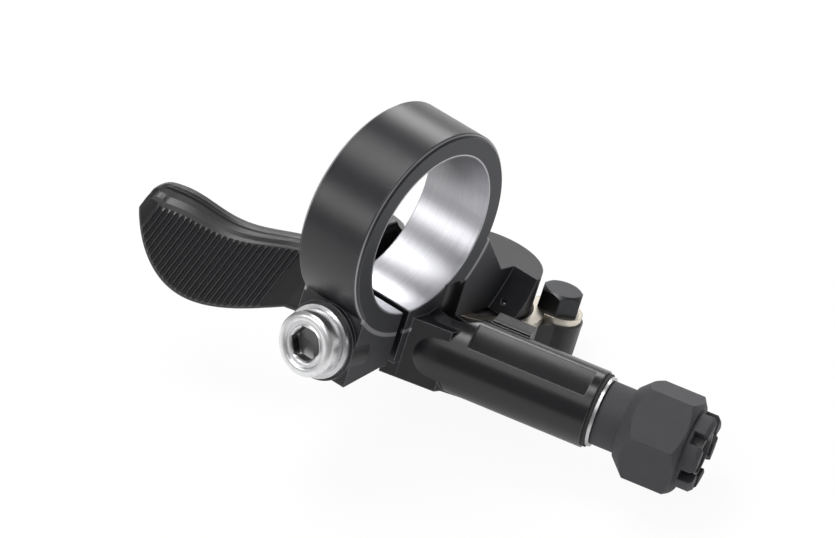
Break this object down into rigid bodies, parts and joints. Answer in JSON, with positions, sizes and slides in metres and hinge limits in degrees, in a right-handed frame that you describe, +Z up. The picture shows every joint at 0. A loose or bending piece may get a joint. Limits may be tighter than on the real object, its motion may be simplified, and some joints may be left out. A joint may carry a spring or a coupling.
{
  "type": "dropper post remote lever",
  "caption": "Thumb lever on a split handlebar ring clamp, with a ribbed paddle, a spring return and a cable tube that ends in a hand-turned hexagonal adjuster.",
  "frame": {"origin": "centre of the handlebar ring's bore", "axes": "+X along the handlebar, away from the paddle; +Z up as the lever lies in the picture; the clamp's slot points 25 degrees forward of straight down"},
  "size_m": [0.0762, 0.0437, 0.0462],
  "materials": {
    "black_alloy": "black anodised, satin",
    "bright_steel": "bright",
    "dark_steel": "black oxide",
    "zinc_steel": "zinc plated",
    "spring_steel": "drawn wire",
    "black_rubber": "matte",
    "bush_polymer": "matte",
    "knob_polymer": "matte moulded"
  },
  "bodies": {
    "bracket": {"bracket": "black_alloy", "clamp_bolt": "bright_steel", "clamp_washer": "bright_steel", "pivot_bolt": "dark_steel", "thrust_washer_top": "zinc_steel", "thrust_washer_low": "zinc_steel", "return_spring": "spring_steel", "rest_bumper": "black_rubber", "cable_guide": "zinc_steel", "tube_seal": "black_rubber", "tube_bush": "bright_steel"},
    "lever": {"lever": "black_alloy", "bush_top": "bush_polymer", "bush_low": "bush_polymer", "pinch_plate": "zinc_steel", "pinch_bolt": "dark_steel"},
    "housing_seat": {"housing_seat": "bush_polymer", "stem_liner": "bush_polymer"},
    "adjuster": {"adjuster_knob": "knob_polymer", "adjuster_stem": "bright_steel", "detent_spring": "spring_steel"}
  },
  "joints": [
    {"name": "lever_pivot", "type": "hinge", "parent": "bracket", "child": "lever", "pos_m": [0.0012, 0.01094, -0.02386], "axis": [0, -0.4226, -0.9063], "range_deg": [0, 28], "stiffness_Nm_per_rad": 0.012, "springref_deg": -25.21, "deforming": ["return_spring"]},
    {"name": "adjuster_travel", "type": "slide", "parent": "bracket", "child": "housing_seat", "axis": [0.9397, 0.31, -0.1445], "range_m": [0, 0.0016]},
    {"name": "knob_turn", "type": "hinge", "parent": "housing_seat", "child": "adjuster", "pos_m": [0.0311, 0.00799, -0.02193], "axis": [0.9397, 0.31, -0.1445], "range_deg": [0, 720]}
  ],
  "couplings": [
    {"joint": "knob_turn", "follows": "adjuster_travel", "rad_per_m": 7854}
  ]
}
